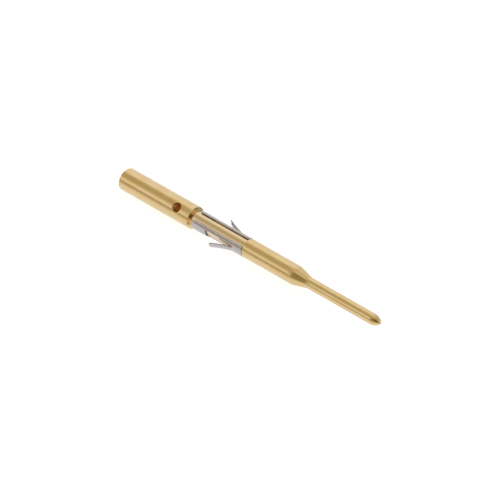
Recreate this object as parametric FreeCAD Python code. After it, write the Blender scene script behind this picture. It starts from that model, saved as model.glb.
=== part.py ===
"""Machined pin contact for a connector, crimped to its wire, with a rolled retention clip.

Two separate pieces lie on one axis: a turned body, and a C-shaped spring sleeve snapped
round its neck. The axis runs along X with the pin's tip at +X, and the crimp barrel
touches the ground plane z = 0. Millimetres and degrees.
"""
import FreeCAD, Part
import math
import os

# Turned body, from the wire end forward
barrel_diameter = 2.08
barrel_length = 8.31
barrel_rim_round = 0.12        # rolled edge round the wire end
shoulder_edge_break = 0.03     # sharp corners of the barrel and the guide, just broken
neck_diameter = 1.42
neck_length = 6.25
guide_diameter = 1.74
guide_length = 5.57
taper_length = 1.50
pin_diameter = 1.00
pin_length = 7.10
tip_length = 0.97
tip_nose_radius = 0.08

# Wire bore and its inspection hole
wire_bore_diameter = 1.25
bore_mouth_chamfer = 0.07
drill_point_angle = 118.0
inspection_hole_diameter = 0.86
inspection_hole_edge_break = 0.03
inspection_hole_to_shoulder = 1.54   # hole's centre to the barrel's front face
bore_past_hole = 0.10                # full bore beyond the hole's far edge
inspection_hole_turn = 44.0          # from straight up, towards -Y

# Retention clip, stamped from sheet and rolled
sheet_thickness = 0.13
clip_neck_clearance = 0.045          # radial, sleeve to neck
clip_front_play = 0.04               # sleeve to the guide's rear face
clip_rear_play = 0.45                # sleeve to the barrel's front face
clip_turn = 20.5                     # slit's direction, from straight up, towards -Y
slit_half_angle = 34.0
slit_corner_round = 0.16
window_from_slit = 98.0              # turn from the slit's middle to each window's middle
window_half_angle = 40.5
window_length = 3.20
window_to_front_edge = 1.07
window_corner_round = 0.14
tang_half_angle = 22.5
tang_length = 2.22                   # developed, from its bend line to its free end
tang_bend_angle = 12.1               # sharp bend at its root
tang_bend_radius = 0.50              # outer face, over the sharp bend
tang_curve_radius = 10.0             # outer face, from there to the free end
tang_relief_depth = 0.10             # flat stretch between the window's edge and the bend
tang_corner_round = 0.13

# Radii, and stations along the axis from the middle of the whole length
barrel_radius = barrel_diameter / 2
neck_radius = neck_diameter / 2
guide_radius = guide_diameter / 2
pin_radius = pin_diameter / 2
bore_radius = wire_bore_diameter / 2
hole_radius = inspection_hole_diameter / 2
sleeve_inner_radius = neck_radius + clip_neck_clearance
sleeve_outer_radius = sleeve_inner_radius + sheet_thickness

total_length = barrel_length + neck_length + guide_length + taper_length + pin_length + tip_length
rear_x = -total_length / 2
shoulder_x = rear_x + barrel_length
guide_x = shoulder_x + neck_length
taper_x = guide_x + guide_length
pin_x = taper_x + taper_length
tip_x = pin_x + pin_length
hole_x = shoulder_x - inspection_hole_to_shoulder
bore_end_x = hole_x + hole_radius + bore_past_hole
drill_point_x = bore_end_x + bore_radius / math.tan(math.radians(drill_point_angle / 2))

sleeve_rear_x = shoulder_x + clip_rear_play
sleeve_front_x = guide_x - clip_front_play
window_front_x = sleeve_front_x - window_to_front_edge
tang_root_x = window_front_x - tang_relief_depth

AXIS = FreeCAD.Vector(1, 0, 0)
ACROSS = FreeCAD.Vector(0, 1, 0)
CENTRE = FreeCAD.Vector(0, 0, 0)
touching = 0.001               # points closer than this lie on a face


def on_axis(x, radius):
    """Point of a turned profile: x along the axis, radius measured upwards."""
    return FreeCAD.Vector(x, 0, radius)


def line(start, end):
    return Part.LineSegment(start, end).toShape()


def rounded_corner(before, corner, after, radius):
    """Tangent points and middle point of an arc that rounds one corner of a profile."""
    back = (before - corner).normalize()
    ahead = (after - corner).normalize()
    half_angle = back.getAngle(ahead) / 2
    setback = radius / math.tan(half_angle)
    bisector = (back + ahead).normalize()
    middle = corner + bisector * (radius / math.sin(half_angle) - radius)
    return corner + back * setback, middle, corner + ahead * setback


def tip_edges():
    """Tangent ogive from the pin's end to a small spherical nose, ending on the axis."""
    nose = tip_nose_radius
    ogive = ((tip_length - nose) ** 2 / (pin_radius - nose) + nose + pin_radius) / 2
    ogive_centre = on_axis(tip_x, pin_radius - ogive)
    nose_centre = on_axis(tip_x + tip_length - nose, 0)
    outward = (nose_centre - ogive_centre).normalize()
    blend = nose_centre + outward * nose
    blend_angle = math.atan2(outward.z, outward.x)
    ogive_half = (math.pi / 2 + blend_angle) / 2
    ogive_middle = ogive_centre + on_axis(math.cos(ogive_half), math.sin(ogive_half)) * ogive
    nose_half = blend_angle / 2
    nose_middle = nose_centre + on_axis(math.cos(nose_half), math.sin(nose_half)) * nose
    nose_end = on_axis(tip_x + tip_length, 0)
    ogive_arc = Part.Arc(on_axis(tip_x, pin_radius), ogive_middle, blend).toShape()
    nose_arc = Part.Arc(blend, nose_middle, nose_end).toShape()
    return [ogive_arc, nose_arc]


def turned_outline():
    """Outer profile of the body, from the axis at the wire end to the axis at the tip."""
    corners = [
        (on_axis(rear_x, 0), 0),
        (on_axis(rear_x, barrel_radius), barrel_rim_round),
        (on_axis(shoulder_x, barrel_radius), shoulder_edge_break),
        (on_axis(shoulder_x, neck_radius), 0),
        (on_axis(guide_x, neck_radius), 0),
        (on_axis(guide_x, guide_radius), shoulder_edge_break),
        (on_axis(taper_x, guide_radius), 0),
        (on_axis(pin_x, pin_radius), 0),
        (on_axis(tip_x, pin_radius), 0),
    ]
    edges = []
    here = corners[0][0]
    for index in range(1, len(corners) - 1):
        corner, radius = corners[index]
        if radius:
            start, middle, end = rounded_corner(
                corners[index - 1][0], corner, corners[index + 1][0], radius)
            edges.append(line(here, start))
            edges.append(Part.Arc(start, middle, end).toShape())
            here = end
        else:
            edges.append(line(here, corner))
            here = corner
    edges.append(line(here, corners[-1][0]))
    edges.extend(tip_edges())
    edges.append(line(on_axis(tip_x + tip_length, 0), corners[0][0]))
    return Part.Wire(edges)


def wire_bore():
    """Blind drilled bore with a chamfered mouth and the drill's conical end."""
    mouth = bore_mouth_chamfer
    profile = Part.makePolygon([
        on_axis(rear_x, 0),
        on_axis(rear_x, bore_radius + mouth),
        on_axis(rear_x + mouth, bore_radius),
        on_axis(bore_end_x, bore_radius),
        on_axis(drill_point_x, 0),
        on_axis(rear_x, 0),
    ])
    return Part.Face(profile).revolve(CENTRE, AXIS, 360)


def inspection_hole():
    """Round drill through one wall of the barrel, into the bore."""
    drill = Part.makeCylinder(hole_radius, barrel_diameter, FreeCAD.Vector(hole_x, 0, 0))
    drill.rotate(CENTRE, AXIS, inspection_hole_turn)
    return drill


def distance_from_axis(point):
    return math.hypot(point.y, point.z)


def hole_rim(solid):
    """Edges where the inspection hole breaks out of the barrel's outside."""
    rim = []
    for edge in solid.Edges:
        if edge.Degenerated:
            continue
        points = edge.discretize(9)
        on_barrel = all(abs(distance_from_axis(point) - barrel_radius) < touching for point in points)
        at_hole = all(abs(point.x - hole_x) < hole_radius + touching for point in points)
        if on_barrel and at_hole:
            rim.append(edge)
    return rim


def contact_body():
    turned = Part.Face(turned_outline()).revolve(CENTRE, AXIS, 360)
    bored = turned.cut(wire_bore()).cut(inspection_hole())
    return bored.makeFillet(inspection_hole_edge_break, hole_rim(bored))


def sheet_sector(start_x, end_x, inner, outer, half_angle):
    """Piece of a round wall about the axis, centred on straight up, with radial side edges."""
    section = Part.makePolygon([
        on_axis(start_x, inner),
        on_axis(start_x, outer),
        on_axis(end_x, outer),
        on_axis(end_x, inner),
        on_axis(start_x, inner),
    ])
    sector = Part.Face(section).revolve(CENTRE, AXIS, 2 * half_angle)
    sector.rotate(CENTRE, AXIS, -half_angle)
    return sector


def round_through_sheet(solid, radius, keep):
    """Round the straight edges that run through the sheet, where keep(edge's middle) is true."""
    edges = []
    for edge in solid.Edges:
        if len(edge.Vertexes) != 2 or edge.Curve.TypeId != "Part::GeomLine":
            continue
        start, end = (distance_from_axis(vertex.Point) for vertex in edge.Vertexes)
        if abs(end - start) > sheet_thickness / 2 and keep(edge.CenterOfMass):
            edges.append(edge)
    return solid.makeFillet(radius, edges)


def sleeve():
    """C-shaped sleeve with its slit straight up and rounded corners at the slit's ends."""
    wall = sheet_sector(
        sleeve_rear_x, sleeve_front_x, sleeve_inner_radius, sleeve_outer_radius,
        180 - slit_half_angle)
    wall.rotate(CENTRE, AXIS, 180)
    return round_through_sheet(wall, slit_corner_round, lambda middle: True)


def window():
    """Opening that the tang was lanced from, deeper than the sheet, centred straight up."""
    opening = sheet_sector(
        window_front_x - window_length, window_front_x,
        sleeve_inner_radius - sheet_thickness / 2, sleeve_outer_radius + sheet_thickness / 2,
        window_half_angle)
    return round_through_sheet(opening, window_corner_round, lambda middle: True)


def tang():
    """Spring tang: flat at its root, a sharp bend outwards, then a wide curve to its free end."""
    radial = line(on_axis(tang_root_x, sleeve_inner_radius), on_axis(tang_root_x, sleeve_outer_radius))
    section = radial.revolve(CENTRE, AXIS, 2 * tang_half_angle)
    section.rotate(CENTRE, AXIS, -tang_half_angle)
    root = section.extrude(AXIS * (tang_relief_depth + sheet_thickness))

    bend_centre = on_axis(tang_root_x, sleeve_outer_radius + tang_bend_radius)
    bend = section.revolve(bend_centre, ACROSS, tang_bend_angle)
    section.rotate(bend_centre, ACROSS, tang_bend_angle)

    bend_turn = math.radians(tang_bend_angle)
    towards_centre = on_axis(math.sin(bend_turn), math.cos(bend_turn))
    curve_centre = bend_centre + towards_centre * (tang_curve_radius - tang_bend_radius)
    bend_length = bend_turn * (tang_bend_radius + sheet_thickness / 2)
    curve_turn = (tang_length - bend_length) / (tang_curve_radius + sheet_thickness / 2)
    blade = section.revolve(curve_centre, ACROSS, math.degrees(curve_turn))
    blade = round_through_sheet(
        blade, tang_corner_round, lambda middle: middle.x < tang_root_x - tang_length / 2)
    return root.fuse([bend, blade])


def retention_clip():
    clip = sleeve()
    for turn in (window_from_slit, -window_from_slit):
        opening = window()
        opening.rotate(CENTRE, AXIS, turn)
        clip = clip.cut(opening)
    for turn in (window_from_slit, -window_from_slit):
        spring = tang()
        spring.rotate(CENTRE, AXIS, turn)
        clip = clip.fuse(spring)
    clip = clip.removeSplitter()
    clip.rotate(CENTRE, AXIS, clip_turn)
    return clip


def place_on_ground(solid):
    solid.translate(FreeCAD.Vector(0, 0, barrel_radius))
    return solid


os.makedirs("parts", exist_ok=True)
for name, make in (("contact_body", contact_body), ("retention_clip", retention_clip)):
    piece = place_on_ground(make())
    piece.exportStep(os.path.join("parts", name + ".step"))
    print(name, "solids", len(piece.Solids), "valid", piece.isValid(), "volume", round(piece.Volume, 4))
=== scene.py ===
"""Looks of a crimp contact pin: a turned, gold plated body and its rolled steel clip.

Both pieces are surfaces worked out as arrays. The body is a profile turned about the
contact's axis, with the inspection hole let into its wall. The clip is a sheet laid out on
a grid of length and turn, rolled round the neck, with its two tangs bent outwards.
Lengths in the classes are millimetres; meshes and the scene are in metres. A turn is an
angle about the axis, from straight up towards -Y.
"""

import logging
import math
from dataclasses import dataclass, field
from enum import Enum
from typing import Dict, List, Optional, Sequence, Tuple, Union

import bmesh
import bpy
import numpy as np
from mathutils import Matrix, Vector


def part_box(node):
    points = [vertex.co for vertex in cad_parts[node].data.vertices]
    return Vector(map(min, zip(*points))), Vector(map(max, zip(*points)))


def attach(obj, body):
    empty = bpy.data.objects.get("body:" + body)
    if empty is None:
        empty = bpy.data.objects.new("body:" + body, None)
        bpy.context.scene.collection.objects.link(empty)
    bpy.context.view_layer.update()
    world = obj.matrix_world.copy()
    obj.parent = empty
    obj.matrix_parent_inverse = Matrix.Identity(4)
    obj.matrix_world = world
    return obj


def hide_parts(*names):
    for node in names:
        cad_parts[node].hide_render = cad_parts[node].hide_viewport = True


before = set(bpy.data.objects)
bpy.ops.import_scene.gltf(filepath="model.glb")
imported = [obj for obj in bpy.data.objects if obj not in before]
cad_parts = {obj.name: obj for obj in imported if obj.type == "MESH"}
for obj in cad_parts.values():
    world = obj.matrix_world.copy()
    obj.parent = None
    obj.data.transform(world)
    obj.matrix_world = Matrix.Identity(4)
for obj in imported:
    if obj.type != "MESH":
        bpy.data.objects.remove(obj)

MM = 0.001
UM = 1e-6
BORE_BOUNCES = 16      # light leaves the bore after about five reflections, so none is cut short
CLOUD_DETAIL, GRAIN_DETAIL = 3.0, 2.0      # octaves of the finishes' noise
CLOUD_LOW, CLOUD_HIGH = 0.3, 0.7      # noise between which a finish goes from its dark to its pale tone
NOISE_MIDDLE = 0.5
MARGIN_STEPS = (0.0, 0.12, 0.38, 0.70)      # shares of a margin, closer together at its border
MARGIN_CELLS = 2 * len(MARGIN_STEPS)
BLOCKS = 40      # parts in which the distances of many points to many edges are worked out
NEAR_ZERO = 1e-12
log = logging.getLogger("contact")

Colour = Tuple[float, float, float]
Array = np.ndarray


class Slot(Enum):
    """Names of the two material slots."""

    GOLD = "gold_plate"
    STEEL = "clip_steel"


class Signal:
    """One output of a shader node; plain arithmetic on it adds Math nodes."""

    def __init__(self, graph: "Graph", socket: Optional[bpy.types.NodeSocket]) -> None:
        """Keep the socket and the graph that it is in."""
        self.graph = graph
        self.socket = socket

    def _math(self, operation: str, first: "Value", second: "Value") -> "Signal":
        """Math node on two values, either of which may be a number."""
        return self.graph.add("ShaderNodeMath", {"operation": operation}, {0: first, 1: second})

    def __add__(self, other: "Value") -> "Signal":
        """This plus another value."""
        return self._math("ADD", self, other)

    def __sub__(self, other: "Value") -> "Signal":
        """This less another value."""
        return self._math("SUBTRACT", self, other)

    def __rsub__(self, other: "Value") -> "Signal":
        """A value less this."""
        return self._math("SUBTRACT", other, self)

    def __mul__(self, other: "Value") -> "Signal":
        """This times another value."""
        return self._math("MULTIPLY", self, other)

    __radd__ = __add__
    __rmul__ = __mul__

    def root(self) -> "Signal":
        """Square root."""
        return self._math("SQRT", self, 0.0)

    def at(self, index: Union[int, str]) -> "Signal":
        """Another output of the same node.

        Args:
            index: The output's place or name.

        Returns:
            That output.
        """
        return Signal(self.graph, self.socket.node.outputs[index])


Value = Union[float, Sequence[float], Signal]


class Graph:
    """Node tree under construction."""

    def __init__(self, tree: bpy.types.NodeTree) -> None:
        """Start with an empty tree."""
        self.tree = tree
        tree.nodes.clear()

    def add(self, kind: str, settings: Optional[Dict[str, object]] = None,
            inputs: Optional[Dict[Union[int, str], Value]] = None) -> Signal:
        """Any node: its settings first, then its sockets.

        Args:
            kind: The node's type name.
            settings: Attributes of the node. A ramp's stops are given as "stops".
            inputs: Socket name or place to a number, a tuple or a signal.

        Returns:
            The node's first output, if it has one.
        """
        node = self.tree.nodes.new(kind)
        for name, setting in (settings or {}).items():
            if name == "stops":
                self._set_stops(node.color_ramp, setting)
            else:
                setattr(node, name, setting)
        for name, value in (inputs or {}).items():
            if isinstance(value, Signal):
                self.tree.links.new(value.socket, node.inputs[name])
            else:
                node.inputs[name].default_value = value
        usable = [socket for socket in node.outputs if socket.enabled]
        return Signal(self, usable[0] if usable else None)

    @staticmethod
    def _set_stops(ramp: bpy.types.ColorRamp, stops: Sequence[Tuple[float, Colour]]) -> None:
        """Give a colour ramp its stops.

        Args:
            ramp: The ramp, which starts with two stops.
            stops: Place and colour of each stop.
        """
        while len(ramp.elements) < len(stops):
            ramp.elements.new(0.5)
        for element, (place, colour) in zip(ramp.elements, stops):
            element.position = place
            element.color = (*colour, 1.0)

    def blend(self, amount: Value, low: Value, high: Value) -> Signal:
        """Mix of two colours.

        Args:
            amount: 0 gives low, 1 gives high.
            low: A colour or a colour signal.
            high: A colour or a colour signal.

        Returns:
            The mixed colour.
        """
        settings = {"data_type": "RGBA", "blend_type": "MIX"}
        return self.add("ShaderNodeMix", settings, {0: amount, 6: rgba(low), 7: rgba(high)})

    def smooth(self, value: Value, start: float, end: float) -> Signal:
        """Smooth step of a value, 0 at start and 1 at end."""
        inputs = {"Value": value, "From Min": start, "From Max": end}
        return self.add("ShaderNodeMapRange", {"interpolation_type": "SMOOTHSTEP"}, inputs)

    def noise(self, place: Signal, scale: float, detail: float) -> Signal:
        """Noise of a place, about 0 to 1."""
        return self.add("ShaderNodeTexNoise", None, {"Vector": place, "Scale": scale, "Detail": detail})

    def dot(self, vector: Signal, axis: Sequence[float]) -> Signal:
        """Dot product of a vector signal and a fixed direction."""
        node = self.add("ShaderNodeVectorMath", {"operation": "DOT_PRODUCT"}, {0: vector, 1: tuple(axis)})
        return node.at("Value")


def rgba(colour: Value) -> Value:
    """Colour with an alpha of 1, or the signal as it is."""
    return colour if isinstance(colour, Signal) else (*colour, 1.0)


def new_material(name: str) -> Tuple[bpy.types.Material, Graph]:
    """Make an empty material.

    Args:
        name: The material's name.

    Returns:
        The material and its node tree.
    """
    made = bpy.data.materials.new(name)
    made.use_nodes = True
    return made, Graph(made.node_tree)


def end_metal(graph: Graph, base: Signal, rough: Signal, relief: Signal, height: float) -> None:
    """End a metal finish with its shader.

    Args:
        graph: The finish's node tree.
        base: Colour.
        rough: Roughness.
        relief: Relief, in parts of the height.
        height: Height in micrometres.
    """
    bump = graph.add("ShaderNodeBump", None, {"Strength": 1.0, "Distance": height * UM, "Height": relief})
    shader = graph.add("ShaderNodeBsdfPrincipled", None, {
        "Base Color": base, "Metallic": 1.0, "Roughness": rough, "Normal": bump})
    graph.add("ShaderNodeOutputMaterial", None, {"Surface": shader})


def around_axis(x: Array, radius: Array, turn: Array, axis_z: float) -> Array:
    """Points at a length, a radius and a turn about the contact's axis.

    A turn t puts a point at -r sin t across and r cos t up.

    Args:
        x: Lengths along the axis, in millimetres.
        radius: Distances from the axis, in millimetres.
        turn: Angles from straight up towards -Y, in radians.
        axis_z: Height of the axis, in millimetres.

    Returns:
        Points in metres, one row each.
    """
    x, radius, turn = np.broadcast_arrays(x, radius, turn)
    points = np.stack([x, -radius * np.sin(turn), axis_z + radius * np.cos(turn)], axis=-1)
    return points.reshape(-1, 3) * MM


def arc(centre: Tuple[float, float], radius: float, start: float, end: float, cells: int) -> Array:
    """Arc of a profile: r cos a ahead of its centre and r sin a above it, for each angle a.

    Args:
        centre: Length and height of the arc's centre.
        radius: The arc's radius.
        start: First angle in degrees, from the axis direction upwards.
        end: Last angle in degrees.
        cells: Number of steps.

    Returns:
        Points of length and height, one row each.
    """
    angle = np.radians(np.linspace(start, end, cells + 1))
    return np.stack([centre[0] + radius * np.cos(angle), centre[1] + radius * np.sin(angle)], axis=-1)


def straight(start: Sequence[float], end: Sequence[float], cells: int) -> Array:
    """Straight stretch of a profile: even shares of the way from its start to its end."""
    share = np.linspace(0.0, 1.0, cells + 1)[:, None]
    return np.asarray(start) * (1 - share) + np.asarray(end) * share


def corner_setback(distance: Array, radius: float) -> Array:
    """How far a rounded corner draws an edge back.

    At a distance d from the corner's end the edge lies r - sqrt(r^2 - (r - d)^2) inside its
    straight line, and nothing further than r away.

    Args:
        distance: Distances from the end, in millimetres.
        radius: The corner's radius.

    Returns:
        Setbacks in millimetres.
    """
    reach = np.clip(radius - distance, 0.0, radius)
    return radius - np.sqrt(radius**2 - reach**2)


def corner_lengths(radius: float, cells: int) -> Array:
    """Lengths r - r cos a over a rounded corner, for even steps of a from 0 to a quarter turn."""
    return radius * (1 - np.cos(np.linspace(0.0, math.pi / 2, cells + 1)))


def end_spaced(start: float, end: float, radius: float, corner_cells: int, cells: int) -> Array:
    """Lengths from start to end, close together over the two rounded ends.

    Args:
        start: First length.
        end: Last length.
        radius: Radius of the rounded corners.
        corner_cells: Steps over each rounded end.
        cells: Steps between them.

    Returns:
        The lengths, both ends included.
    """
    quarter = corner_lengths(radius, corner_cells)
    middle = np.linspace(start + radius, end - radius, cells + 1)[1:-1]
    return np.concatenate([start + quarter, middle, (end - quarter)[::-1]])


def edge_spaced(start: Union[float, Array], end: Union[float, Array], margin: float,
                cells: int) -> Array:
    """Values from one border to another, closer together inside a margin next to each of them.

    Args:
        start: First border, a number or a column of numbers.
        end: Second border, of the same shape.
        margin: Width of the two margins, where a rounded edge curves.
        cells: Steps between the two margins.

    Returns:
        The values, one row for each row of the borders, with both borders included.
    """
    near = margin * np.array(MARGIN_STEPS)
    share = np.linspace(0.0, 1.0, cells + 1)
    middle = (start + margin) * (1 - share) + (end - margin) * share
    return np.concatenate([start + near, middle, end - near[::-1]], axis=-1)


def to_nearest_edge(points: Array, starts: Array, ends: Array) -> Array:
    """Way from each point to the nearest place of many straight edges.

    The nearest place of an edge from a to b lies at the share (p - a).(b - a) / |b - a|^2 of
    it, kept between 0 and 1.

    Args:
        points: Points, one row each.
        starts: First ends of the edges.
        ends: Second ends of the edges.

    Returns:
        One vector for each point.
    """
    span = ends - starts
    ways = []
    for some in np.array_split(points, BLOCKS):
        offset = some[:, None, :] - starts
        share = np.clip((offset * span).sum(axis=-1) / (span**2).sum(axis=-1), 0.0, 1.0)
        way = share[..., None] * span - offset
        nearest = np.linalg.norm(way, axis=-1).argmin(axis=1)
        ways.append(way[np.arange(len(some)), nearest])
    return np.concatenate(ways)


def unit(vectors: Array) -> Array:
    """Vectors of length 1 in the same directions; a null vector stays null."""
    return vectors / np.maximum(np.linalg.norm(vectors, axis=-1, keepdims=True), NEAR_ZERO)


def make_object(name: str, points: Array, faces: List[List[int]], sharp_degrees: float) -> bpy.types.Object:
    """Closed mesh object with outward normals, smooth up to an edge angle.

    Args:
        name: The piece's name.
        points: Vertices in metres.
        faces: Vertex places of each face.
        sharp_degrees: Edges that turn more than this are drawn sharp.

    Returns:
        The new object, linked to the scene.
    """
    mesh = bpy.data.meshes.new(name)
    mesh.from_pydata(points.tolist(), [], faces)
    shell = bmesh.new()
    shell.from_mesh(mesh)
    bmesh.ops.recalc_face_normals(shell, faces=shell.faces)
    shell.to_mesh(mesh)
    shell.free()
    mesh.shade_smooth()
    mesh.set_sharp_from_angle(angle=math.radians(sharp_degrees))
    piece = bpy.data.objects.new(name, mesh)
    bpy.context.scene.collection.objects.link(piece)
    return piece


def by_turn(length: Array, across: Array, height: Array) -> Array:
    """Length, distance sqrt(w^2 + h^2) and turn atan(w / h) of points w across and h high."""
    return np.stack([length, np.hypot(across, height), np.arctan2(across, height)], axis=-1)


def grid_quads(places: Array, closed: bool = False) -> Array:
    """Quads between the rows and columns of a grid of vertex places.

    Args:
        places: Vertex places by row and column.
        closed: Whether the last column is joined to the first.

    Returns:
        The four places of each quad, still by row and column.
    """
    if closed:
        places = np.concatenate([places, places[:, :1]], axis=1)
    return np.stack([places[:-1, :-1], places[1:, :-1], places[1:, 1:], places[:-1, 1:]], axis=-1)


@dataclass(frozen=True)
class GoldPlate:
    """Satin gold over a turned surface, with fine marks round the axis and painted light in the bore."""

    colour: Colour = (0.80, 0.565, 0.265)
    pale: Colour = (0.83, 0.615, 0.32)
    roughness: float = 0.22
    roughness_spread: float = 0.06
    # Paler gold in the bore and on the hole's wall: painted light that stands in for light bouncing about
    # inside them.
    bore_painted_light_colour: Colour = (0.985, 0.80, 0.55)
    bore_roughness: float = 0.30
    neck_colour: Colour = (0.83, 0.63, 0.385)
    neck_roughness: float = 0.20
    mark_pitch: float = 0.09
    broad_pitch: float = 0.63
    mark_height: float = 0.5
    fine_share: float = 0.6
    cloud_scale: float = 900.0
    cloud_spread: float = 0.05
    # Widths over which one finish passes into the next, the bore's painted light included, in millimetres.
    neck_border: float = 0.02
    bore_border: Tuple[float, float] = (0.05, 0.03)
    hole_border: Tuple[float, float] = (0.002, 0.012)
    hole_fade: float = 0.1

    def material(self, axis_z: float, bore: Tuple[float, float], hole: Tuple[float, float, float],
                 neck: Tuple[float, float]) -> bpy.types.Material:
        """Build the finish.

        Args:
            axis_z: Height of the turning axis, in millimetres.
            bore: Length station just past the bore's end, and the radius that the bore stays within.
            hole: The inspection hole's length station, its radius and its turn in degrees.
            neck: Length stations of the neck's two ends.

        Returns:
            The material.
        """
        made, graph = new_material("gold_plate")
        place = graph.add("ShaderNodeTexCoord").at("Object")
        parts = graph.add("ShaderNodeSeparateXYZ", None, {0: place})
        across, up = parts.at("Y"), parts.at("Z") - axis_z * MM
        radius = (across * across + up * up).root()
        along = parts + radius
        fine = self._marks(graph, along, self.mark_pitch)
        broad = self._marks(graph, along, self.broad_pitch)
        cloud = graph.noise(place, self.cloud_scale, CLOUD_DETAIL)
        tone = graph.smooth(cloud, CLOUD_LOW, CLOUD_HIGH)
        base = graph.blend(tone, self.colour, self.pale)
        border = self.neck_border
        start, stop = (graph.smooth(parts, (end - border) * MM, (end + border) * MM) for end in neck)
        on_neck = start * (1.0 - stop)
        base = graph.blend(on_neck, base, self.neck_colour)
        back, out = self.bore_border
        behind = 1.0 - graph.smooth(parts, (bore[0] - back) * MM, bore[0] * MM)
        inside = 1.0 - graph.smooth(radius, bore[1] * MM, (bore[1] + out) * MM)
        turn = math.radians(hole[2])
        beside = across * math.cos(turn) + up * math.sin(turn)
        height = up * math.cos(turn) - across * math.sin(turn)
        ahead = parts - hole[0] * MM
        from_hole = (ahead * ahead + beside * beside).root()
        near, far = (hole[1] + gap for gap in self.hole_border)
        near_hole = 1.0 - graph.smooth(from_hole, near * MM, far * MM)
        hole_wall = near_hole * graph.smooth(height, 0.0, self.hole_fade * MM)
        drilled = 1.0 - (1.0 - behind * inside) * (1.0 - hole_wall)
        # Painted light: the bore and the hole's wall take the paler gold.
        base = graph.blend(drilled, base, self.bore_painted_light_colour)
        rough = self.roughness + self.roughness_spread * (broad - NOISE_MIDDLE)
        rough = rough + self.cloud_spread * (cloud - NOISE_MIDDLE)
        rough = rough * (1.0 - on_neck) + self.neck_roughness * on_neck
        rough = rough * (1.0 - drilled) + self.bore_roughness * drilled
        end_metal(graph, base, rough, fine * self.fine_share + broad, self.mark_height)
        return made

    @staticmethod
    def _marks(graph: Graph, along: Signal, pitch: float) -> Signal:
        """Uneven rings round the axis: noise of the one coordinate that follows the profile."""
        inputs = {"W": along * (1 / (pitch * MM)), "Scale": 1.0, "Detail": GRAIN_DETAIL}
        return graph.add("ShaderNodeTexNoise", {"noise_dimensions": "1D"}, inputs)


@dataclass(frozen=True)
class ClipSteel:
    """Bare rolled spring steel, with faint grain along the strip and duller sheared edges."""

    colour: Colour = (0.52, 0.475, 0.46)
    pale: Colour = (0.57, 0.52, 0.50)
    roughness: float = 0.17
    roughness_spread: float = 0.08
    grain_length: float = 0.9
    grain_width: float = 0.035
    grain_height: float = 0.25
    edge_colour: Colour = (0.58, 0.565, 0.555)
    edge_roughness: float = 0.34
    cloud_scale: float = 1400.0

    def material(self) -> bpy.types.Material:
        """Build the finish; the faces' attribute "sheared" is 1 along the cut edges.

        Returns:
            The material.
        """
        made, graph = new_material("clip_steel")
        place = graph.add("ShaderNodeTexCoord").at("Object")
        stretch = (1 / (self.grain_length * MM), 1 / (self.grain_width * MM), 1 / (self.grain_width * MM))
        grained = graph.add("ShaderNodeVectorMath", {"operation": "MULTIPLY"}, {0: place, 1: stretch})
        grain = graph.noise(grained, 1.0, GRAIN_DETAIL)
        cloud = graph.noise(place, self.cloud_scale, CLOUD_DETAIL)
        sheared = graph.add("ShaderNodeAttribute", {"attribute_name": "sheared"}).at("Fac")
        base = graph.blend(graph.smooth(cloud, CLOUD_LOW, CLOUD_HIGH), self.colour, self.pale)
        base = graph.blend(sheared, base, self.edge_colour)
        rough = self.roughness + self.roughness_spread * (grain - NOISE_MIDDLE)
        rough = rough * (1.0 - sheared) + self.edge_roughness * sheared
        end_metal(graph, base, rough, grain, self.grain_height)
        return made


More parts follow.
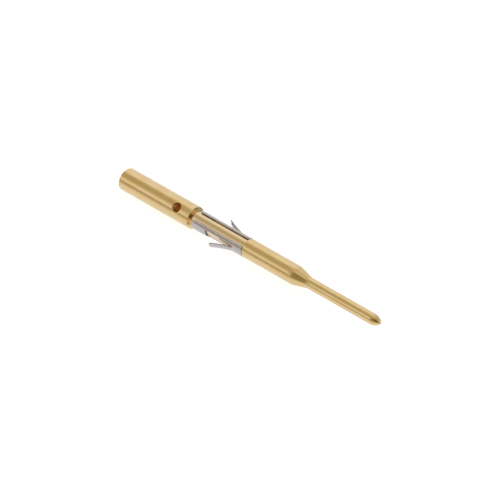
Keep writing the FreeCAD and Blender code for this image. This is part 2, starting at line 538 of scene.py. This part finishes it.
@dataclass
class TurnedBody:
    """The one turned piece, from the crimp barrel's rim to the pin's tip."""

    barrel_radius: float = 1.04
    barrel_length: float = 8.31
    barrel_rim_round: float = 0.12
    edge_break: float = 0.03
    neck_radius: float = 0.71
    neck_length: float = 6.25
    guide_radius: float = 0.87
    guide_length: float = 5.57
    taper_length: float = 1.50
    pin_radius: float = 0.50
    pin_length: float = 7.10
    tip_length: float = 0.97
    nose_radius: float = 0.08
    bore_radius: float = 0.625
    bore_chamfer: float = 0.07
    drill_half_angle: float = 59.0
    hole_radius: float = 0.43
    hole_edge_break: float = 0.03
    hole_to_shoulder: float = 1.54
    bore_past_hole: float = 0.10
    hole_turn: float = 44.0
    segments: int = 144
    outer_half_columns: int = 18
    outer_half_length: float = 0.70
    outer_rows: int = 20
    inner_half_columns: int = 22
    inner_half_length: float = 0.50
    inner_rows: int = 12
    # Steps of the mesh along each stretch.
    short_cells: int = 8
    long_cells: int = 10
    corner_cells: int = 5
    hole_edge_cells: int = 4
    face_cells: int = 4
    chamfer_cells: int = 2
    cone_cells: int = 6
    ogive_cells: int = 16
    # How near the axis the rows end: a share of the drill's cone, and degrees of the nose.
    pole_share: float = 0.1
    nose_stop: float = 8.0
    # Places of the rings round the hole between their borders, from 0 to 1.
    outer_shares: Tuple[float, ...] = (0.2, 0.4, 0.6, 0.75, 0.87, 0.95)
    wall_shares: Tuple[float, ...] = (0.33, 0.67)
    inner_shares: Tuple[float, ...] = (0.15, 0.35, 0.6, 0.8)
    sharp_degrees: float = 32.0
    drilled_margin: Tuple[float, float] = (0.1, 0.02)
    finish: GoldPlate = field(default_factory=GoldPlate)

    def __post_init__(self) -> None:
        """Stations along the axis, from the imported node's own box."""
        low, high = (np.asarray(corner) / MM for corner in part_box("contact_body"))
        self.axis_z = (low[2] + high[2]) / 2
        self.rear = low[0]
        self.shoulder = self.rear + self.barrel_length
        self.guide = self.shoulder + self.neck_length
        self.taper = self.guide + self.guide_length
        self.pin = self.taper + self.taper_length
        self.tip = self.pin + self.pin_length
        self.end = self.tip + self.tip_length
        self.hole = self.shoulder - self.hole_to_shoulder
        self.bore_end = self.hole + self.hole_radius + self.bore_past_hole
        self.drill_point = self.bore_end + self.bore_radius / math.tan(math.radians(self.drill_half_angle))

    def _inner_profile(self) -> Tuple[Array, int]:
        """Bore, from just off the drill's point back to the rim.

        Returns:
            Points of length and radius, and the place of the first row of the hole's window.
        """
        radius, cut, half = self.bore_radius, self.bore_chamfer, self.inner_half_length
        near_point = self.drill_point - self.pole_share * (self.drill_point - self.bore_end)
        cone = straight((near_point, self.pole_share * radius), (self.bore_end, radius), self.cone_cells)
        window = straight((self.hole + half, radius), (self.hole - half, radius), self.inner_rows)
        mouth = straight(window[-1], (self.rear + cut, radius), self.short_cells)
        chamfer = straight(mouth[-1], (self.rear, radius + cut), self.chamfer_cells)
        return np.concatenate([cone, window, mouth[1:], chamfer[1:]]), len(cone)

    def _outer_profile(self) -> Tuple[Array, int]:
        """Outside, from the rim to just off the tip's end.

        The tip is an ogive: an arc that leaves the pin's wall without a corner and runs into a
        small round nose. Its radius R makes both arcs touch: (L - n)^2 = (p - n)(2R - n - p), for
        the tip's length L, the nose's radius n and the pin's radius p.

        Returns:
            Points of length and radius, and the place of the first row of the hole's window.
        """
        rim, cut = self.barrel_rim_round, self.edge_break
        radius, half = self.barrel_radius, self.outer_half_length
        short, long, corner = self.short_cells, self.long_cells, self.corner_cells
        rim_arc = arc((self.rear + rim, radius - rim), rim, 180, 90, short)
        window = straight((self.hole - half, radius), (self.hole + half, radius), self.outer_rows)
        wall = straight(rim_arc[-1], window[0], short)[1:-1]
        shoulder = arc((self.shoulder - cut, radius - cut), cut, 90, 0, corner)
        face = straight(shoulder[-1], (self.shoulder, self.neck_radius), self.face_cells)[1:]
        neck = straight(face[-1], (self.guide, self.neck_radius), long)[1:]
        guide = arc((self.guide + cut, self.guide_radius - cut), cut, 180, 90, corner)
        body = straight(guide[-1], (self.taper, self.guide_radius), short)[1:]
        taper = straight(body[-1], (self.pin, self.pin_radius), short)[1:]
        pin = straight(taper[-1], (self.tip, self.pin_radius), long)[1:]
        nose = self.nose_radius
        ogive = ((self.tip_length - nose) ** 2 / (self.pin_radius - nose) + nose + self.pin_radius) / 2
        nose_centre = self.end - nose
        blend = math.degrees(math.atan2(ogive - self.pin_radius, nose_centre - self.tip))
        ogive_arc = arc((self.tip, self.pin_radius - ogive), ogive, 90, blend, self.ogive_cells)[1:]
        nose_arc = arc((nose_centre, 0.0), nose, blend, self.nose_stop, corner)[1:]
        before = np.concatenate([rim_arc, wall])
        after = [shoulder, face, neck, guide, body, taper, pin, ogive_arc, nose_arc]
        return np.concatenate([before, window, *after]), len(before)

    @staticmethod
    def _window_loop(rows: Array, half: int) -> Array:
        """Vertex places round a window of the turned grid, from its +X side towards more turn.

        Args:
            rows: The window's rows of the grid, in order of growing length.
            half: Columns from the hole's middle to the window's side.

        Returns:
            Vertex places, once round.
        """
        window = rows[:, np.arange(-half, half + 1)]
        return np.concatenate([
            window[-1, half:-1], window[:0:-1, -1], window[0, :0:-1], window[:-1, 0], window[-1, :half]])

    def _drilled_ring(self, wall_radius: float, drill_radius: float, depth: float,
                      around: Array) -> Array:
        """Ring where a drill meets a round wall, as length, radius and turn.

        At drill angle a the ring lies d cos a along the axis and d sin a across it, and its
        height along the drill is sqrt(r^2 - (d sin a)^2) less a depth.

        Args:
            wall_radius: Radius r of the wall.
            drill_radius: Radius d of the drill.
            depth: How far under the wall the ring lies.
            around: Drill angles in radians.

        Returns:
            Rows of length, radius and turn from the drill's direction.
        """
        across = drill_radius * np.sin(around)
        height = np.sqrt(wall_radius**2 - across**2) - depth
        return by_turn(self.hole + drill_radius * np.cos(around), across, height)

    def _hole_rings(self, outer_loop: Array, inner_loop: Array) -> List[Array]:
        """Rings from the outer window in to the hole, down its wall and out to the inner window.

        At angle a over the broken edge c, the ring lies c (1 - sin a) outside the hole's wall and
        c (1 - cos a) deep.

        Args:
            outer_loop: Length, radius and turn of the outer window's border.
            inner_loop: The same for the inner window's border.

        Returns:
            New rings in order, without the two borders.
        """
        around = np.arange(len(outer_loop)) * 2 * math.pi / len(outer_loop)
        cut = self.hole_edge_break
        start = self._drilled_ring(self.barrel_radius, self.hole_radius + cut, 0.0, around)
        rings = [start * share + outer_loop * (1 - share) for share in self.outer_shares]
        for angle in np.linspace(0.0, math.pi / 2, self.hole_edge_cells + 1):
            drill = self.hole_radius + cut * (1 - math.sin(angle))
            depth = cut * (1 - math.cos(angle))
            rings.append(self._drilled_ring(self.barrel_radius, drill, depth, around))
        top = rings[-1]
        bottom = self._drilled_ring(self.bore_radius, self.hole_radius, 0.0, around)
        top_height, low_height = (ring[:, 1] * np.cos(ring[:, 2]) for ring in (top, bottom))
        across = self.hole_radius * np.sin(around)
        for share in self.wall_shares:
            rings.append(by_turn(top[:, 0], across, top_height * (1 - share) + low_height * share))
        rings.append(bottom)
        rings.extend(bottom * (1 - share) + inner_loop * share for share in self.inner_shares)
        return rings

    def build(self) -> bpy.types.Object:
        """Turned surface with the inspection hole let into it.

        The grid leaves a window open round the hole, outside and in the bore, and rings run from
        one window's border through the hole to the other's.

        Returns:
            The body.
        """
        inner, inner_first = self._inner_profile()
        outer, outer_first = self._outer_profile()
        outer_first += len(inner)
        profile = np.concatenate([inner, outer])
        rows, columns = len(profile), self.segments
        turn = np.arange(columns) * 2 * math.pi / columns
        hole_turn = math.radians(self.hole_turn)
        grid = around_axis(profile[:, :1], profile[:, 1:], turn[None, :] + hole_turn, self.axis_z)

        places = np.arange(rows * columns).reshape(rows, columns)
        quads = grid_quads(places, closed=True)
        keep = np.ones(quads.shape[:2], dtype=bool)
        for first, count, half in (
                (inner_first, self.inner_rows, self.inner_half_columns),
                (outer_first, self.outer_rows, self.outer_half_columns)):
            keep[first:first + count, np.arange(-half, half)] = False

        outer_rows = places[outer_first:outer_first + self.outer_rows + 1]
        inner_rows = places[inner_first:inner_first + self.inner_rows + 1][::-1]
        outer_loop = self._window_loop(outer_rows, self.outer_half_columns)
        inner_loop = self._window_loop(inner_rows, self.inner_half_columns)
        borders = []
        for loop in (outer_loop, inner_loop):
            loop_row, loop_side = loop // columns, (loop % columns + columns // 2) % columns - columns // 2
            borders.append(np.column_stack([profile[loop_row], loop_side * 2 * math.pi / columns]))
        rings = self._hole_rings(*borders)
        stack = np.concatenate(rings)
        ring_points = around_axis(stack[:, 0], stack[:, 1], stack[:, 2] + hole_turn, self.axis_z)
        ring_places = len(grid) + np.arange(len(stack)).reshape(len(rings), -1)
        hole_quads = grid_quads(np.vstack([outer_loop, ring_places, inner_loop]), closed=True)

        poles = around_axis(np.array([self.drill_point, self.end]), np.zeros(2), np.zeros(2), self.axis_z)
        points = np.concatenate([grid, ring_points, poles])
        first_pole, last_pole = (np.full(columns, len(points) - back) for back in (2, 1))
        fans = [np.stack([first_pole, places[0], np.roll(places[0], -1)], axis=-1),
                np.stack([last_pole, np.roll(places[-1], -1), places[-1]], axis=-1)]
        parts = (quads[keep], hole_quads.reshape(-1, 4), *fans)
        faces = [face for part in parts for face in part.tolist()]
        piece = make_object("turned_body", points, faces, self.sharp_degrees)
        bore = (self.drill_point + self.drilled_margin[0], self.bore_radius + self.drilled_margin[1])
        hole = (self.hole, self.hole_radius, self.hole_turn)
        finish = self.finish.material(self.axis_z, bore, hole, (self.shoulder, self.guide))
        piece.data.materials.append(finish)
        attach(piece, "root")
        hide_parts("contact_body")
        return piece


@dataclass
class RetentionClip:
    """Rolled sleeve with a full-length slit and two tangs lanced out of it."""

    sheet: float = 0.13
    inner_radius: float = 0.755
    turn: float = 20.5
    slit_half: float = 34.0
    slit_round: float = 0.16
    window_from_slit: float = 98.0
    window_half: float = 40.5
    window_length: float = 3.20
    window_to_front: float = 1.07
    window_round: float = 0.14
    tang_half: float = 22.5
    tang_length: float = 2.22
    bend_angle: float = 12.1
    bend_radius: float = 0.50
    curve_radius: float = 10.0
    tang_relief: float = 0.10
    tang_round: float = 0.13
    edge_round: float = 0.035
    sheared_share: float = 0.6
    # Steps of the mesh along each stretch.
    corner_cells: int = 6
    rear_cells: int = 4
    window_cells: int = 16
    front_cells: int = 3
    side_cells: int = 3
    gap_cells: int = 1
    back_cells: int = 14
    tang_cells: int = 6
    relief_cells: int = 2
    bend_cells: int = 6
    blade_cells: int = 14
    sharp_degrees: float = 180.0
    finish: ClipSteel = field(default_factory=ClipSteel)

    def __post_init__(self) -> None:
        """Stations along the axis, from the nodes' own boxes, and what follows from the sizes."""
        low, high = (np.asarray(corner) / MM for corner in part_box("retention_clip"))
        body_low, body_high = (np.asarray(corner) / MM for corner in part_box("contact_body"))
        self.axis_z = (body_low[2] + body_high[2]) / 2
        self.rear, self.front = low[0], high[0]
        self.window_front = self.front - self.window_to_front
        self.window_rear = self.window_front - self.window_length
        self.outer_radius = self.inner_radius + self.sheet
        self.middle_radius = self.inner_radius + self.sheet / 2
        self.margin = self.edge_round / self.middle_radius
        self.tang_whole = self.tang_relief + self.tang_length
        self.bend_middle = self.bend_radius + self.sheet / 2
        self.bend_length = math.radians(self.bend_angle) * self.bend_middle

    def _lengths(self) -> Tuple[Array, int, int]:
        """Rows of the sleeve along the axis.

        Returns:
            Lengths, and the places of the window's first and last rows.
        """
        corner = corner_lengths(self.slit_round, self.corner_cells)
        behind = edge_spaced(
            self.rear + self.slit_round, self.window_rear, self.edge_round, self.rear_cells)[1:-1]
        window = end_spaced(
            self.window_rear, self.window_front, self.window_round, self.corner_cells, self.window_cells)
        ahead = edge_spaced(
            self.window_front, self.front - self.slit_round, self.edge_round, self.front_cells)[1:-1]
        first = len(corner) + len(behind)
        lengths = np.concatenate([self.rear + corner, behind, window, ahead, self.front - corner[::-1]])
        return lengths, first, first + len(window) - 1

    def _turns(self, lengths: Array) -> Tuple[Array, Array]:
        """Turn of every grid line from the slit, row by row.

        The lines lie between successive borders, closer together next to them. The slit's edge is
        drawn back by its rounded ends, and the window's side at its own corners.

        Args:
            lengths: The rows' lengths.

        Returns:
            Turns in radians, one row for each length, and the borders' column places.
        """
        ends = np.minimum(lengths - self.rear, self.front - lengths)
        slit = math.radians(self.slit_half) + corner_setback(ends, self.slit_round) / self.middle_radius
        inside = np.clip(np.minimum(lengths - self.window_rear, self.window_front - lengths), 0.0, None)
        setback = corner_setback(inside, self.window_round) / self.middle_radius
        window = math.radians(self.window_half) - setback
        tang = np.full(len(lengths), math.radians(self.tang_half))
        full = 2 * math.pi
        first = math.radians(self.window_from_slit)
        second = full - first
        borders = [
            slit, first - window, first - tang, first + tang, first + window,
            second - window, second - tang, second + tang, second + window, full - slit]
        window_cells = [self.gap_cells, self.tang_cells, self.gap_cells]
        cells = [self.side_cells, *window_cells, self.back_cells, *window_cells, self.side_cells]
        columns = [borders[0][:, None]]
        places = [0]
        for low, high, count in zip(borders[:-1], borders[1:], cells):
            columns.append(edge_spaced(low[:, None], high[:, None], self.margin, count)[:, 1:])
            places.append(places[-1] + count + MARGIN_CELLS)
        return np.concatenate(columns, axis=1), np.array(places)

    def _tang_lengths(self) -> Array:
        """Rows of a tang along its own length, from just behind the window's front edge.

        Returns:
            Lengths from that edge.
        """
        bend = self.tang_relief + self.bend_length
        quarter = corner_lengths(self.tang_round, self.corner_cells)
        return np.concatenate([
            np.linspace(0, self.tang_relief, self.relief_cells + 1)[1:],
            np.linspace(self.tang_relief, bend, self.bend_cells + 1)[1:],
            np.linspace(bend, self.tang_whole - self.tang_round, self.blade_cells + 1)[1:],
            (self.tang_whole - quarter)[::-1][1:]])

    def _tang_points(self, centre: float, radius: float) -> Array:
        """One face of one tang, from its root to its free end.

        The tang follows the sleeve at first, then turns about a centre line across it: a point at
        height h turned by g lies (c - h) sin g behind the root and c - (c - h) cos g high, for a
        centre c high. After the sharp bend b the centre moves out along the turned section to the
        wide curve's radius, by the difference d of both radii: d sin b ahead and d cos b higher.

        Args:
            centre: Turn of the tang's middle from the slit, in radians.
            radius: Radius of the face before bending.

        Returns:
            Points in metres, one row of cells after another.
        """
        length = self._tang_lengths()
        narrowing = corner_setback(self.tang_whole - length, self.tang_round) / self.middle_radius
        half = math.radians(self.tang_half) - narrowing
        side = edge_spaced(-half[:, None], half[:, None], self.margin, self.tang_cells)
        flat = np.minimum(length, self.tang_relief)[:, None]
        past = length[:, None] - flat
        bend = math.radians(self.bend_angle)
        in_bend = np.minimum(past, self.bend_length) / self.bend_middle
        turned = in_bend + np.maximum(past - self.bend_length, 0.0) / (self.curve_radius + self.sheet / 2)
        moved = np.where(past > self.bend_length, self.curve_radius - self.bend_radius, 0.0)
        pivot = self.outer_radius + self.bend_radius
        reach = pivot + moved - radius * np.cos(side)
        height = pivot + moved * math.cos(bend) - reach * np.cos(turned)
        x = self.window_front - flat + moved * math.sin(bend) - reach * np.sin(turned)
        across = radius * np.sin(side)
        turn = centre + np.arctan2(across, height) + math.radians(self.turn)
        return around_axis(x, np.hypot(across, height), turn, self.axis_z)

    def _face(self, radius: float) -> Array:
        """One whole face of the sheet, sleeve and tangs.

        Args:
            radius: The face's radius on the sleeve.

        Returns:
            Points in metres.
        """
        lengths = self._lengths()[0]
        turns = self._turns(lengths)[0] + math.radians(self.turn)
        sleeve = around_axis(lengths[:, None], np.array(radius), turns, self.axis_z)
        middle = math.radians(self.window_from_slit)
        tangs = [self._tang_points(centre, radius) for centre in (middle, -middle)]
        return np.concatenate([sleeve, *tangs])

    def _quads(self) -> Array:
        """Cells of the sheet: the sleeve without its windows, then the two tangs.

        The windows lie between borders 1 and 4 and between 5 and 8. Their tangs start at 2 and 6.

        Returns:
            Places of the four points of each cell.
        """
        lengths, first, last = self._lengths()
        turns, places = self._turns(lengths)
        grid = np.arange(turns.size).reshape(turns.shape)
        sleeve = grid_quads(grid)
        keep = np.ones(sleeve.shape[:2], dtype=bool)
        for low, high in ((places[1], places[4]), (places[5], places[8])):
            keep[first:last, low:high] = False
        quads = [sleeve[keep]]
        start = grid.size
        tang_rows = len(self._tang_lengths())
        tang_columns = self.tang_cells + MARGIN_CELLS + 1
        for low in (places[2], places[6]):
            root = grid[last, low:low + tang_columns]
            blade = start + np.arange(tang_rows * tang_columns).reshape(tang_rows, tang_columns)
            # A tang's rows run towards the rear, so its quads are turned over to face as the sleeve's.
            quads.append(grid_quads(np.vstack([root, blade]))[..., [0, 3, 2, 1]].reshape(-1, 4))
            start += blade.size
        return np.concatenate(quads)

    def build(self) -> bpy.types.Object:
        """Both faces of the sheet, closed by a wall along every free edge.

        Within the rounding's radius e of an edge, each face is drawn in towards the sheet's
        middle by a rounded corner's setback. At a distance d from the edge its normal leans
        outwards by the sine (e - d) / e, so that it runs into the wall without a sharp line.

        Returns:
            The clip.
        """
        outer, inner = self._face(self.outer_radius), self._face(self.inner_radius)
        used, renumbered = np.unique(self._quads(), return_inverse=True)
        quads = renumbered.reshape(-1, 4)
        outer, inner = outer[used], inner[used]
        edges = np.stack([quads, np.roll(quads, -1, axis=1)], axis=-1).reshape(-1, 2)
        keys = np.sort(edges, axis=1)
        _, where, count = np.unique(keys, axis=0, return_index=True, return_counts=True)
        border = edges[where[count == 1]]
        middle, through = (outer + inner) / 2, unit(outer - inner)
        way = to_nearest_edge(middle, middle[border[:, 0]], middle[border[:, 1]])
        distance = np.linalg.norm(way, axis=1) / MM
        setback = through * corner_setback(distance, self.edge_round)[:, None] * MM
        outwards = np.cross(through[border[:, 0]], middle[border[:, 1]] - middle[border[:, 0]])
        for end in (0, 1):
            np.add.at(way, border[:, end], unit(outwards))
        lean = np.clip(1 - distance / self.edge_round, 0.0, 1.0)[:, None]
        upright, leaning = through * np.sqrt(1 - lean**2), unit(way) * lean
        normals = unit(np.concatenate([upright + leaning, leaning - upright]))
        outer, inner = outer - setback, inner + setback
        shift = len(outer)
        wall = np.stack([border[:, 1], border[:, 0], border[:, 0] + shift, border[:, 1] + shift], axis=-1)
        faces = quads.tolist() + (quads[:, ::-1] + shift).tolist() + wall.tolist()
        piece = make_object("rolled_clip", np.concatenate([outer, inner]), faces, self.sharp_degrees)
        piece.data.normals_split_custom_set_from_vertices(normals.tolist())
        sheared = piece.data.attributes.new("sheared", "FLOAT", "FACE")
        curved = distance[quads].mean(axis=1) < self.edge_round * self.sheared_share
        marks = np.concatenate([curved, curved, np.ones(len(wall))])
        sheared.data.foreach_set("value", marks.astype(float))
        piece.data.materials.append(self.finish.material())
        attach(piece, "root")
        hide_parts("retention_clip")
        return piece


@dataclass(frozen=True)
class Shade:
    """A darker round area of the light tent, with a soft border between two angles in degrees."""

    direction: Tuple[float, float, float]
    inner: float
    outer: float
    colour: Colour


@dataclass
class LightTent:
    """White tent all round, with the darker areas that a polished pin mirrors."""

    white: Colour = (1.0, 1.0, 1.0)
    horizon_colour: Colour = (0.42, 0.37, 0.25)
    horizon_top: float = 0.34
    horizon_front: Tuple[float, float] = (0.1, 0.7)
    shades: Tuple[Shade, ...] = (
        Shade((-0.30, 0.95, 0.15), 20.0, 60.0, (0.88, 0.92, 1.0)),
        Shade((0.30, -0.72, 0.50), 36.0, 47.0, (0.33, 0.30, 0.17)),
        Shade((0.55, -0.67, 0.50), 14.0, 32.0, (0.15, 0.11, 0.055)),
        Shade((0.35, 0.15, 0.92), 12.0, 28.0, (0.50, 0.42, 0.26)),
        Shade((0.55, 0.83, 0.09), 18.0, 38.0, (0.40, 0.44, 0.42)),
        Shade((-0.97, 0.10, 0.20), 14.0, 32.0, (0.50, 0.47, 0.42)),
        Shade((-0.55, -0.286, 0.785), 8.0, 35.5, (0.52, 0.48, 0.345)),
        Shade((-0.15, 0.20, 0.967), 4.0, 18.0, (0.60, 0.55, 0.42)),
        Shade((0.15, 0.84, 0.50), 10.0, 35.0, (0.56, 0.58, 0.72)),
    )
    floor_colour: Colour = (0.80, 0.80, 0.80)
    floor_seen: Colour = (0.76, 0.76, 0.76)
    # What the contact mirrors of the floor, by the place across it in millimetres: painted tones, with a
    # painted shadow on the +Y side from 1.5 to 3.4 mm and painted darkening far out on the -Y side.
    floor_mirrored_painted_shade: Tuple[Tuple[float, Colour], ...] = (
        (-14.0, (0.48, 0.45, 0.38)), (-6.0, (0.78, 0.76, 0.72)), (-3.0, (0.92, 0.92, 0.92)),
        (-1.5, (0.93, 0.96, 1.01)), (0.6, (0.88, 0.91, 0.97)), (1.5, (0.38, 0.37, 0.35)),
        (3.4, (0.50, 0.50, 0.52)), (6.0, (0.90, 0.90, 0.92)))
    floor_half: float = 3.0

    def build(self) -> None:
        """World and floor."""
        self._world()
        self._floor()

    def _world(self) -> None:
        """Tent light by direction; a camera ray sees plain white."""
        world = bpy.data.worlds.new("tent")
        bpy.context.scene.world = world
        world.use_nodes = True
        graph = Graph(world.node_tree)
        towards = graph.add("ShaderNodeTexCoord").at("Generated")
        height = graph.dot(towards, (0, 0, 1))
        low = 1.0 - graph.smooth(height, 0.0, self.horizon_top)
        in_front = graph.smooth(graph.dot(towards, (0, -1, 0)), *self.horizon_front)
        colour = graph.blend(low * in_front, self.white, self.horizon_colour)
        for shade in self.shades:
            facing = graph.dot(towards, Vector(shade.direction).normalized())
            outer, inner = (math.cos(math.radians(angle)) for angle in (shade.outer, shade.inner))
            colour = graph.blend(graph.smooth(facing, outer, inner), colour, shade.colour)
        tent = graph.add("ShaderNodeBackground", None, {"Color": colour, "Strength": 1.0})
        plain = graph.add("ShaderNodeBackground", None, {"Color": (1, 1, 1, 1), "Strength": 1.0})
        seen = graph.add("ShaderNodeLightPath").at("Is Camera Ray")
        shown = graph.add("ShaderNodeMixShader", None, {0: seen, 1: tent, 2: plain})
        graph.add("ShaderNodeOutputWorld", None, {"Surface": shown})

    def _floor(self) -> None:
        """White sheet under the contact: lit and shadowed, and seen as white; mirrored, it shows painted
        tones with a painted shadow.
        """
        half = self.floor_half
        corners = [(-half, -half, 0), (half, -half, 0), (half, half, 0), (-half, half, 0)]
        mesh = bpy.data.meshes.new("floor")
        mesh.from_pydata(corners, [], [[0, 1, 2, 3]])
        floor = bpy.data.objects.new("floor", mesh)
        bpy.context.scene.collection.objects.link(floor)
        made, graph = new_material("floor_white_with_painted_shade")
        path = graph.add("ShaderNodeLightPath")
        place = graph.add("ShaderNodeTexCoord").at("Object")
        first, last = (self.floor_mirrored_painted_shade[end][0] for end in (0, -1))
        stops = [((station - first) / (last - first), tone) for station, tone in self.floor_mirrored_painted_shade]
        across = graph.add("ShaderNodeMapRange", None, {
            "Value": graph.dot(place, (0, 1, 0)), "From Min": first * MM, "From Max": last * MM})
        tone = graph.add("ShaderNodeValToRGB", {"stops": stops}, {0: across})
        # Painted shadow and painted darkening: the floor as the contact mirrors it is an emission tone by
        # place, not lit.
        mirrored_painted_shade = graph.add("ShaderNodeEmission", None, {"Color": tone, "Strength": 1.0})
        glow = graph.blend(path.at("Is Camera Ray"), (0, 0, 0), self.floor_seen)
        shine = graph.add("ShaderNodeEmission", None, {"Color": glow, "Strength": 1.0})
        lit = graph.add("ShaderNodeBsdfDiffuse", None, {"Color": rgba(self.floor_colour)})
        sheet = graph.add("ShaderNodeAddShader", None, {0: lit, 1: shine})
        mirrored = path.at("Is Glossy Ray") + path.at("Is Transmission Ray")
        top = graph.add("ShaderNodeMixShader", None, {0: mirrored, 1: sheet, 2: mirrored_painted_shade})
        below = graph.add("ShaderNodeBsdfTransparent")
        under = graph.add("ShaderNodeNewGeometry").at("Backfacing")
        whole = graph.add("ShaderNodeMixShader", None, {0: under, 1: top, 2: below})
        graph.add("ShaderNodeOutputMaterial", None, {"Surface": whole})
        floor.data.materials.append(made)


@dataclass
class Camera:
    """Long lens, level, looking down on the contact from in front of its tip."""

    azimuth: float = 46.5
    elevation: float = 36.9
    distance: float = 350.0
    lens: float = 297.6
    pixels_per_mm: float = 11.81
    aim_right: float = -0.79
    aim_up: float = -0.48
    nearest: float = 0.01
    farthest: float = 20.0

    def build(self, axis_z: float) -> None:
        """Make the scene's camera and place it.

        Args:
            axis_z: Height of the contact's axis, in millimetres.
        """
        turn, rise = math.radians(self.azimuth), math.radians(self.elevation)
        back = Vector((math.cos(turn) * math.cos(rise), -math.sin(turn) * math.cos(rise), math.sin(rise)))
        right = Vector((math.sin(turn), math.cos(turn), 0.0))
        up = back.cross(right)
        aim = Vector((0.0, 0.0, axis_z * MM))
        aim += (right * self.aim_right + up * self.aim_up) * (MM / self.pixels_per_mm)
        data = bpy.data.cameras.new("camera")
        data.lens = self.lens
        data.clip_start, data.clip_end = self.nearest, self.farthest
        camera = bpy.data.objects.new("camera", data)
        camera.location = aim + back * (self.distance * MM)
        camera.rotation_mode = "QUATERNION"
        camera.rotation_quaternion = back.to_track_quat("Z", "Y")
        bpy.context.scene.collection.objects.link(camera)
        bpy.context.scene.camera = camera


def main() -> None:
    """Build the stage, then each piece, and log what was made."""
    logging.basicConfig(level=logging.INFO, format="%(name)s: %(message)s")
    bpy.context.scene.view_settings.view_transform = "Standard"
    bpy.context.scene.cycles.max_bounces = BORE_BOUNCES
    bpy.context.scene.cycles.glossy_bounces = BORE_BOUNCES
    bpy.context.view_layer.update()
    body = TurnedBody()
    Camera().build(body.axis_z)
    LightTent().build()
    for maker in (body, RetentionClip()):
        piece = maker.build()
        mesh = piece.data
        log.info("%s: %d vertices, %d faces", piece.name, len(mesh.vertices), len(mesh.polygons))


if __name__ == "__main__":
    main()
